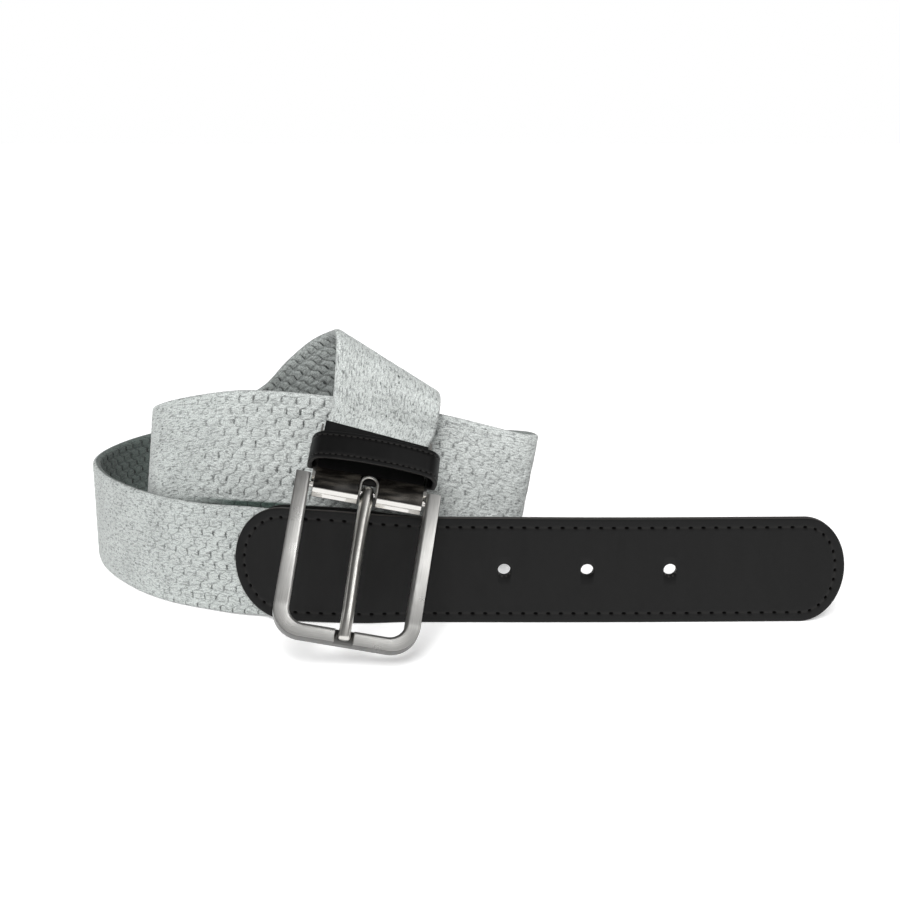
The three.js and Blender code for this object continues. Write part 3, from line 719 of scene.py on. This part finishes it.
# The leather's colours, gloss and its patterns' scales, per metre
leatherLook = {
    "dark": "#080808", "light": "#0f0f0f", "stitchHole": "#020202", "cut": "#353331",
    "grain": 2500,  # 0.4 mm
    "creases": (90, 60, 30),  # 11 x 17 x 33 mm
    "shine": 0.24, "holeShine": 0.02, "roughness": (0.42, 0.6),
}


def leatherMaterial():
    # Waxed black cowhide: smooth satin face, a fine grain, soft creases and a slightly uneven polish
    material, tree, shader = newMaterial("waxed cowhide")
    look = leatherLook
    place = addNode(tree, "TexCoord").outputs["Object"]
    groove, edge = (
        addNode(tree, "Attribute", attribute_name=key).outputs["Fac"] for key in ("groove", "edge"))
    grain = addNode(tree, "TexNoise", {"Vector": place, "Scale": look["grain"], "Detail": 4,
                                       "Roughness": 0.6})
    drawn = addNode(tree, "Mapping", {"Vector": place, "Scale": look["creases"]})
    creases = addNode(tree, "TexNoise", {"Vector": drawn, "Scale": 1, "Detail": 5, "Roughness": 0.65,
                                         "Distortion": 1.2})
    tone = addNode(tree, "ValToRGB", [creases])
    setStops(tone, (0.3, look["dark"]), (0.7, look["light"]))
    # the stitch holes: partly the black thread, partly painted shade down in the recessed holes, darker and
    # less glossy
    groove = addNode(tree, "MapRange", [groove, 0, 0.7, 0, 1], **eased)
    tone = addNode(tree, "Mix", {0: groove, 6: tone, 7: hexColour(look["stitchHole"])}, **blended)
    tone = addNode(tree, "Mix", {0: edge, 6: tone, 7: hexColour(look["cut"])}, **blended)
    shine = addNode(tree, "MapRange", [groove, 0, 1, look["shine"], look["holeShine"]], **eased)
    gloss = addNode(tree, "MapRange", [creases, 0, 1, *look["roughness"]])
    fine = addNode(tree, "Bump", {"Height": grain, "Strength": 0.25, "Distance": 0.0001})
    soft = addNode(tree, "Bump", {"Height": creases, "Normal": fine, "Strength": 0.08, "Distance": 0.0004})
    feed(tree, shader, {"Base Color": tone, "Roughness": gloss, "Specular IOR Level": shine, "Normal": soft})
    return material


leatherFinish = leatherMaterial()
tipFront, tipBack = makeTipLeather("tipFront", -1), makeTipLeather("tipBack", 1)
cutOut(holeCutter(), tipFront, tipBack)
dress(tipFront, "belt", "leather", leatherFinish, "tip_front")
dress(tipBack, "belt", "leather", leatherFinish, "tip_back")
print("leather tip ready")


# A merged copy of a CAD solid, with its edges rounded
def roundedCopy(node, name, width, segments=2, angle=28):
    mesh = bmesh.new()
    mesh.from_mesh(frame["nodes"][node].data)
    for layer in list(mesh.loops.layers.uv):
        mesh.loops.layers.uv.remove(layer)
    bmesh.ops.remove_doubles(mesh, verts=mesh.verts, dist=2e-6)
    bmesh.ops.dissolve_limit(mesh, angle_limit=math.radians(0.6), verts=mesh.verts, edges=mesh.edges)
    hard = [edge for edge in mesh.edges if edge.is_manifold and edge.calc_face_angle() > math.radians(angle)]
    bmesh.ops.bevel(mesh, geom=hard, offset=width * 0.001, segments=segments, profile=0.5, affect="EDGES",
                    material=-1, clamp_overlap=True)
    smoothFaces(mesh)
    piece = pieceFrom(mesh, name)
    weigh = piece.modifiers.new("weighted", "WEIGHTED_NORMAL")
    weigh.keep_sharp = True
    weigh.weight = 90
    return piece


# Bars whose outline, in a plate's own up and out, is drawn along the plate's width, with rounded edges
def barsFrom(name, outline, spans, turn, rounding=0.02, segments=1):
    mesh = bmesh.new()
    for start, end in spans:
        face = mesh.faces.new([mesh.verts.new((start, y, z)) for y, z in outline])
        drawn = bmesh.ops.extrude_face_region(mesh, geom=[face])["geom"]
        far = [item for item in drawn if isinstance(item, bmesh.types.BMVert)]
        bmesh.ops.translate(mesh, verts=far, vec=(end - start, 0, 0))
    bmesh.ops.recalc_face_normals(mesh, faces=mesh.faces)
    bmesh.ops.bevel(mesh, geom=mesh.edges[:], offset=rounding, segments=segments, profile=0.5,
                    affect="EDGES", material=-1, clamp_overlap=True)
    seat(mesh, turn)
    smoothFaces(mesh)
    return pieceFrom(mesh, name)


# A round bar along a path in a plate's own axes
def tubeFrom(name, path, radius, turn, sides=14):
    path = np.array(path, float)
    along = np.gradient(path, axis=0)
    along /= np.linalg.norm(along, axis=1)[:, None]
    out = np.tile([0.0, 0.0, 1.0], (len(path), 1))
    out -= along * np.sum(out * along, axis=1)[:, None]
    out /= np.linalg.norm(out, axis=1)[:, None]
    side = np.cross(along, out)
    angle = np.linspace(0, 2 * math.pi, sides + 1)
    ring = side[:, None] * np.cos(angle)[None, :, None] + out[:, None] * np.sin(angle)[None, :, None]
    places = path[:, None] + radius * ring
    return wrappedGrid(name, onPlate(turn, places), np.zeros((*places.shape[:2], 2)))


# The metals' colours and their patterns' scales, per metre; the outer wall's darker tone is painted shade
metalLook = {
    "brushed": "#c9c8c5", "satin": "#d6d4cf", "polished": "#dedcd8", "streaks": ("#151311", "#4a4640"),
    "brushLines": (110, 5200, 1),  # 9 x 0.2 mm, along each bar
    "brushPatches": 160,  # 6 mm
    # painted shade: how far in from the outer wall the painted shade reaches, and how dark it gets
    "wall": (0.00002, 0.0002), "wallTone": 0.24,  # metres in from the frame's outer wall
    "wave": 120,  # 8 mm
    "panelStreaks": (40, 500, 500),  # 25 x 2 mm
}


def brushedMaterial():
    # Brushed nickel-plated zinc: neutral grey with fine lines along each bar, and painted shade darkening its
    # outer wall
    material, tree, shader = newMaterial("brushed nickel")
    look = metalLook
    uv = addNode(tree, "UVMap", uv_map="surface")
    lines = addNode(tree, "Mapping", {"Vector": uv, "Scale": look["brushLines"]})
    lines = addNode(tree, "TexNoise", {"Vector": lines, "Scale": 1, "Detail": 3})
    lines = addNode(tree, "MapRange", [lines, 0.25, 0.75, 0.82, 1.06], **eased)
    tone = addNode(tree, "Mix", {0: 1, 6: hexColour(look["brushed"]), 7: lines}, **multiplied)
    # painted shade on the outer wall: the colour darkens near it
    inward = addNode(tree, "SeparateXYZ", [uv]).outputs["Y"]
    wall = addNode(tree, "MapRange", [inward, *look["wall"], look["wallTone"], 1], **eased)
    tone = addNode(tree, "Mix", {0: 1, 6: tone, 7: wall}, **multiplied)
    patches = addNode(tree, "TexNoise", {"Vector": uv, "Scale": look["brushPatches"], "Detail": 3})
    roughness = addNode(tree, "MapRange", [patches, 0.3, 0.7, 0.27, 0.34], **eased)
    tangent = addNode(tree, "Tangent", direction_type="UV_MAP", uv_map="surface")
    feed(tree, shader, {
        "Metallic": 1, "Anisotropic": 0.6, "Anisotropic Rotation": 0.25,
        "Base Color": tone, "Roughness": roughness, "Tangent": tangent})
    return material


def satinMaterial():
    # Satin nickel of the prong and the slot's rim: smoother than the frame, with soft long streaks of light
    material, tree, shader = newMaterial("satin nickel")
    feed(tree, shader, {"Metallic": 1, "Roughness": 0.3, "Base Color": hexColour(metalLook["satin"])})
    return material


def polishedMaterial():
    # Polished nickel plate: a clear mirror with a faint wave
    material, tree, shader = newMaterial("polished nickel")
    place = addNode(tree, "TexCoord").outputs["Object"]
    wave = addNode(tree, "TexNoise", {"Vector": place, "Scale": metalLook["wave"], "Detail": 2})
    bump = addNode(tree, "Bump", {"Height": wave, "Strength": 0.1, "Distance": 0.0003})
    feed(tree, shader, {
        "Metallic": 1, "Roughness": 0.08, "Base Color": hexColour(metalLook["polished"]), "Normal": bump})
    return material


def panelMaterial():
    # Nickel of the clamp's face with a painted dark reflection: nearly black, glossy, with soft brownish
    # streaks across it
    material, tree, shader = newMaterial("nickel with painted dark reflection")
    place = addNode(tree, "TexCoord").outputs["Object"]
    streaks = addNode(tree, "Mapping", {"Vector": place, "Scale": metalLook["panelStreaks"]})
    streaks = addNode(tree, "TexNoise", {"Vector": streaks, "Scale": 1, "Detail": 3})
    tone = addNode(tree, "ValToRGB", [streaks])
    # painted reflection: the dark and brown streak colours stand in for the dark surroundings mirrored in the
    # face
    dark, brown = metalLook["streaks"]
    setStops(tone, (0.42, dark), (0.75, brown))
    feed(tree, shader, {"Metallic": 0.6, "Roughness": 0.22, "Base Color": tone})
    return material


brushedFinish, satinFinish = brushedMaterial(), satinMaterial()
polishedFinish, panelFinish = polishedMaterial(), panelMaterial()

# Clamp: panels on its face painted dark as a reflection, two bright lips along its end wall and a bright rim
# round the prong's slot
clamp = {
    "rounding": 0.12, "halves": [(-19.4, -3.35), (3.35, 19.4)],  # left and right of the slot
    "panel": [(-2.95, 3.2), (-2.95, 3.36), (5.6, 3.36), (5.6, 3.2)], "panelRounding": 0.05,
    "lips": [(-3.1, 3.3), (-4.2, 2.0), (-3.45, 0.35), (-4.3, -0.7), (-3.1, -2.7), (-2.6, 0)],
    "lipRounding": 0.1,
    "rimHalf": 3.0, "rimCentre": 1.7, "rimFoot": -1.8, "rimHeight": 3.75, "rimRadius": 0.5,
}


def slotRim():
    half, centre, high = clamp["rimHalf"], clamp["rimCentre"], clamp["rimHeight"]
    bend = np.linspace(math.pi, 0, 25)
    leg = np.linspace(clamp["rimFoot"], centre, 12)[:-1]
    path = [(-half, y, high) for y in leg]
    path += [(half * math.cos(t), centre + half * math.sin(t), high) for t in bend]
    path += [(half, y, high) for y in leg[::-1]]
    return tubeFrom("slotRim", path, clamp["rimRadius"], clampTurn)


dress(roundedCopy("clamp", "clampBox", clamp["rounding"]), "belt", "polished", polishedFinish, "clamp")
clampPanels = barsFrom("clampPanels", clamp["panel"], clamp["halves"], clampTurn, clamp["panelRounding"], 2)
dress(clampPanels, "belt", "polished", panelFinish)
clampLips = barsFrom("clampLips", clamp["lips"], clamp["halves"], clampTurn, clamp["lipRounding"], 2)
dress(clampLips, "belt", "polished", polishedFinish)
dress(slotRim(), "belt", "polished", satinFinish)
print("clamp ready")

# Buckle frame: two arms and a lower bar with a notch for the prong, with a chamfer round the inside, in mm
frameBar = {
    "arm": [(26.1, 3.5), (24.75, -46.8)], "corner": (14.75, -46.8, 10), "bottom": -56.8,
    "innerArm": [(20.9, 3.5), (19.55, -46.5)], "innerCorner": (14.05, -46.5, 5.5), "sill": -52,
    "face": 2.25, "back": -2.65, "rounding": 0.4, "chamfer": 0.9, "chamferDrop": 0.36,
    "chamferFoot": [(0.22, 0), (0.06, 0.08), (0, 0.24)],  # in from the inner wall, and down from the chamfer
    "crown": 0.06, "bow": 0.7, "bowMiddle": -21.5, "bowHalf": 25, "droop": 0.35, "droopRun": (46, 58),
    "bendFrom": -0.5,  # what lies lower than this keeps out of the bow and the droop
    "notchHalf": 3.1, "notchFloor": 0.65, "notchTop": 5, "notchOver": 2, "sharpAngle": 24,
    "axleRounding": 0.12,
}


# Half of an outline of the frame, from the top of its right arm round the corner to the middle of the bar
def frameHalf(arm, corner, bottom):
    top, low = np.array(arm[0], float), np.array(arm[1], float)
    x, y, radius = corner
    bend = np.linspace(0, math.pi / 2, 25)
    straight = top + (low - top) * np.linspace(0, 1, 61)[:-1, None]
    turn = np.stack([x + radius * np.cos(bend), y - radius * np.sin(bend)], 1)
    bar = np.linspace((x, bottom), (0, bottom), 22)[1:]
    return np.vstack([straight, turn, bar])


# The bar's section, from its outer wall over the face to the inner wall and round the back: how far from the
# outer wall, as a share of the face or as a distance from either wall, and how high
def frameSection():
    face, back, r, slope = (frameBar[key] for key in ("face", "back", "rounding", "chamfer"))
    low = face - frameBar["chamferDrop"]
    turned = r * 0.3  # where a rounded corner's middle lies
    bend = np.linspace(0, math.pi / 2, 7)
    section = [("outset", 0, back + r), ("outset", 0, 0), ("outset", 0, face - r)]
    section += [("outset", r - r * math.cos(t), face - r + r * math.sin(t)) for t in bend[1:]]
    section += [("share", k / 8, face + frameBar["crown"] * math.sin(math.pi * k / 8)) for k in range(1, 8)]
    section += [("inset", slope, face), ("inset", slope / 2, (face + low) / 2)]
    section += [("inset", inward, low - down) for inward, down in frameBar["chamferFoot"]]
    section += [("inset", 0, 0), ("inset", 0, back + r), ("inset", turned, back + turned), ("inset", r, back)]
    section += [("outset", r, back), ("outset", turned, back + turned), ("outset", 0, back + r)]
    return section


def makeFrame(name):
    outer = frameHalf(frameBar["arm"], frameBar["corner"], frameBar["bottom"])
    inner = frameHalf(frameBar["innerArm"], frameBar["innerCorner"], frameBar["sill"])
    outer, inner = (np.vstack([half, (half * [-1, 1])[::-1][1:]]) for half in (outer, inner))
    wide = np.linalg.norm(inner - outer, axis=1)
    run = runAlong((outer + inner) / 2)
    face, r, slope, foot = (frameBar[key] for key in ("face", "rounding", "chamfer", "bendFrom"))
    fromMiddle = (outer[:, 1] - frameBar["bowMiddle"]) / frameBar["bowHalf"]
    lift = np.where(np.abs(fromMiddle) < 1, frameBar["bow"] * (1 - fromMiddle ** 2), 0)
    columns = []
    for kind, along, height in frameSection():
        if kind == "share":
            s = r + (wide - r - slope) * along
        elif kind == "inset":
            s = wide - along
        else:
            s = along + 0 * wide
        flat = outer + (inner - outer) * (s / wide)[:, None]
        droop = frameBar["droop"] * smoothStep(-flat[:, 1], *frameBar["droopRun"])
        z = height + (lift - droop) * np.clip((height - foot) / (face - foot), 0, 1)
        columns.append((np.stack([flat[:, 0], flat[:, 1], z], 1), np.stack([run, s], 1)))
    places, uv = (np.stack(parts, 1) for parts in zip(*columns))
    return wrappedGrid(name, onPlate(frameTurn, places), uv, sharp=frameBar["sharpAngle"])


def notchCutter():
    low, high = frameBar["bottom"] - frameBar["notchOver"], frameBar["sill"] + frameBar["notchOver"]
    floor, top = frameBar["notchFloor"], frameBar["notchTop"]
    outline = [(low, floor), (low, top), (high, top), (high, floor)]
    return barsFrom("notchCutter", outline, [(-frameBar["notchHalf"], frameBar["notchHalf"])], frameTurn)


frameLoop = makeFrame("frameLoop")
cutOut(notchCutter(), frameLoop)
dress(frameLoop, "buckle", "brushed", brushedFinish, "buckle_frame")
dress(roundedCopy("axle", "axleRod", frameBar["axleRounding"]), "buckle", "polished", polishedFinish, "axle")
print("buckle frame and axle ready")

# Prong: a round pin, lying on the frame's bar, whose flattened head goes over the axle
prong = {
    # the radius at each place along it, from its end on the bar to its head
    "profile": [(0, -56), (1.4, -56), (1.8, -55.85), (2.02, -55.3), (2.08, -44.8), (2.2, -28), (2.25, -13),
                (2.42, -2.5), (2.42, 0.6), (2.2, 1.6), (1.75, 2.25), (1.0, 2.55), (0, 2.62)],
    "steps": 32, "rest": 3.05, "bow": -0.4, "bowEnd": 42, "flat": 0.9, "flatFrom": -5,
    "eye": 1.35, "eyeSteps": 24, "eyeReach": 4,
}


def makeProng(name):
    mesh = bmesh.new()
    verts = [mesh.verts.new((r, y, 0)) for r, y in prong["profile"]]
    edges = [mesh.edges.new(pair) for pair in zip(verts, verts[1:])]
    bmesh.ops.spin(mesh, geom=verts + edges, cent=(0, 0, 0), axis=(0, 1, 0), angle=2 * math.pi,
                   steps=prong["steps"], use_merge=True)
    bmesh.ops.remove_doubles(mesh, verts=mesh.verts, dist=1e-4)
    bmesh.ops.recalc_face_normals(mesh, faces=mesh.faces)
    tilt = Matrix.Rotation(-math.atan2(prong["rest"], -frameBar["sill"]), 3, "X")
    for vert in mesh.verts:
        x, y, z = vert.co
        bow = prong["bow"] * math.sin(math.pi * min(max(-y / prong["bowEnd"], 0), 1))
        flat = prong["flat"] if y > prong["flatFrom"] else 1
        vert.co = tilt @ Vector((x + bow, y, z * flat))
    seat(mesh, frameTurn)
    smoothFaces(mesh)
    return pieceFrom(mesh, name)


def eyeCutter():
    angles = np.linspace(0, 2 * math.pi, prong["eyeSteps"] + 1)[1:]
    circle = [(prong["eye"] * math.cos(t), prong["eye"] * math.sin(t)) for t in angles]
    return barsFrom("eyeCutter", circle, [(-prong["eyeReach"], prong["eyeReach"])], frameTurn)


prongPin = makeProng("prongPin")
cutOut(eyeCutter(), prongPin)
dress(prongPin, "prong_body", "brushed", satinFinish, "prong")
print("prong ready")

# Patch: the leather on the strap's end, under the clamp
patch = {"rounding": 0.3, "segments": 3}
chapePatch = roundedCopy("chape", "chapePatch", patch["rounding"], patch["segments"])
dress(chapePatch, "belt", "leather", leatherFinish, "chape")

# Keeper: a loop of folded leather round the clamp, with a row of stitches beside each rim
keeper = {
    "start": 8.2, "thickness": 1.7, "sag": 0.22, "drift": 0.6, "sideHalf": 23.6, "sideTop": 4, "corner": 1.5,
    "shoulderHalf": 18, "shoulder": 8.6, "shoulderRise": 0.6, "crown": 12.6, "crownHalf": 8, "back": -4.8,
    "backSteps": 31, "sideSteps": 41, "crownSteps": 121,
    "rows": (1.6, 9.8), "rowDepth": 0.45, "rowHalf": 0.22, "seamShare": 0.5,
    "stitchPitch": 2.2, "pinHalf": 0.4, "threadHalf": 0.6, "threadPale": 0.5,
    "cutEdge": (0.4, 0.9), "cutPale": 0.7, "cutSide": 1,  # the pale cut shows on the lower rim
    # the section, from the lower rim over the outer face: up the strap, and in from the outer face
    "section": [(0, 0.5), (0.12, 0.14), (0.45, 0), (0.9, 0), (1.2, 0), (1.4, 0), (1.6, 0), (1.8, 0), (2, 0),
                (3, 0), (5.7, 0), (8.4, 0), (9.4, 0), (9.6, 0), (9.8, 0), (10, 0), (10.2, 0), (10.5, 0),
                (10.95, 0), (11.28, 0.14), (11.4, 0.5), (11.4, 1.2), (11.28, 1.56), (10.95, 1.7), (7.5, 1.7),
                (4, 1.7), (0.45, 1.7), (0.12, 1.56), (0, 1.2), (0, 0.85), (0, 0.5)],
}


# Outline of the loop across the strap, by how far it lies inside the outer face
def keeperRing(inset):
    side, floor = keeper["sideHalf"] - inset, keeper["back"] + inset
    flat, rise = side - keeper["corner"], keeper["shoulder"] - inset
    shoulder = (keeper["shoulderHalf"], rise + keeper["shoulderRise"])
    crown = (keeper["crownHalf"], keeper["crown"] - inset)
    t = np.linspace(0, 1, keeper["sideSteps"])[1:]
    right = np.vstack([
        np.linspace((0, floor), (flat, floor), keeper["backSteps"]),
        bezier((flat, floor), (side, floor), (side, floor), (side, 0), t),
        bezier((side, 0), (side, keeper["sideTop"]), (flat, rise), shoulder, t),
    ])
    over = bezier(shoulder, crown, (-crown[0], crown[1]), (-shoulder[0], shoulder[1]),
                  np.linspace(0, 1, keeper["crownSteps"])[1:])
    return np.vstack([right, over, (right * [-1, 1])[::-1][1:]])


def makeKeeper(name):
    outer, inner = keeperRing(0), keeperRing(keeper["thickness"])
    run = runAlong(outer)
    near = fromStitch(run, keeper["stitchPitch"])
    cutStart, cutEnd = keeper["cutEdge"]
    columns = []
    for y, depth in keeper["section"]:
        row = max(hump(y - middle, keeper["rowHalf"]) for middle in keeper["rows"]) * (depth == 0)
        pin = row * hump(near, keeper["pinHalf"])
        sunk = keeper["rowDepth"] * (row * keeper["seamShare"] + pin)
        flat = outer + (inner - outer) * ((depth + sunk) / keeper["thickness"])[:, None]
        up = keeper["start"] + y - keeper["sag"] * flat[:, 1]
        place = np.stack([flat[:, 0] + keeper["drift"], up, flat[:, 1]], 1)
        cut = keeper["cutPale"] * (cutStart < depth < cutEnd and y < keeper["cutSide"])
        pale = cut + keeper["threadPale"] * row * (1 - hump(near, keeper["threadHalf"]))
        columns.append((place, np.stack([run, y + 0 * run], 1), pin, pale))
    places, uv, pin, pale = (np.stack(parts, 1) for parts in zip(*columns))
    return wrappedGrid(name, onPlate(clampTurn, places), uv, {"groove": pin, "edge": pale}, cap=False)


dress(makeKeeper("keeperLoop"), "belt", "leather", leatherFinish, "keeper")
print("patch and keeper ready")
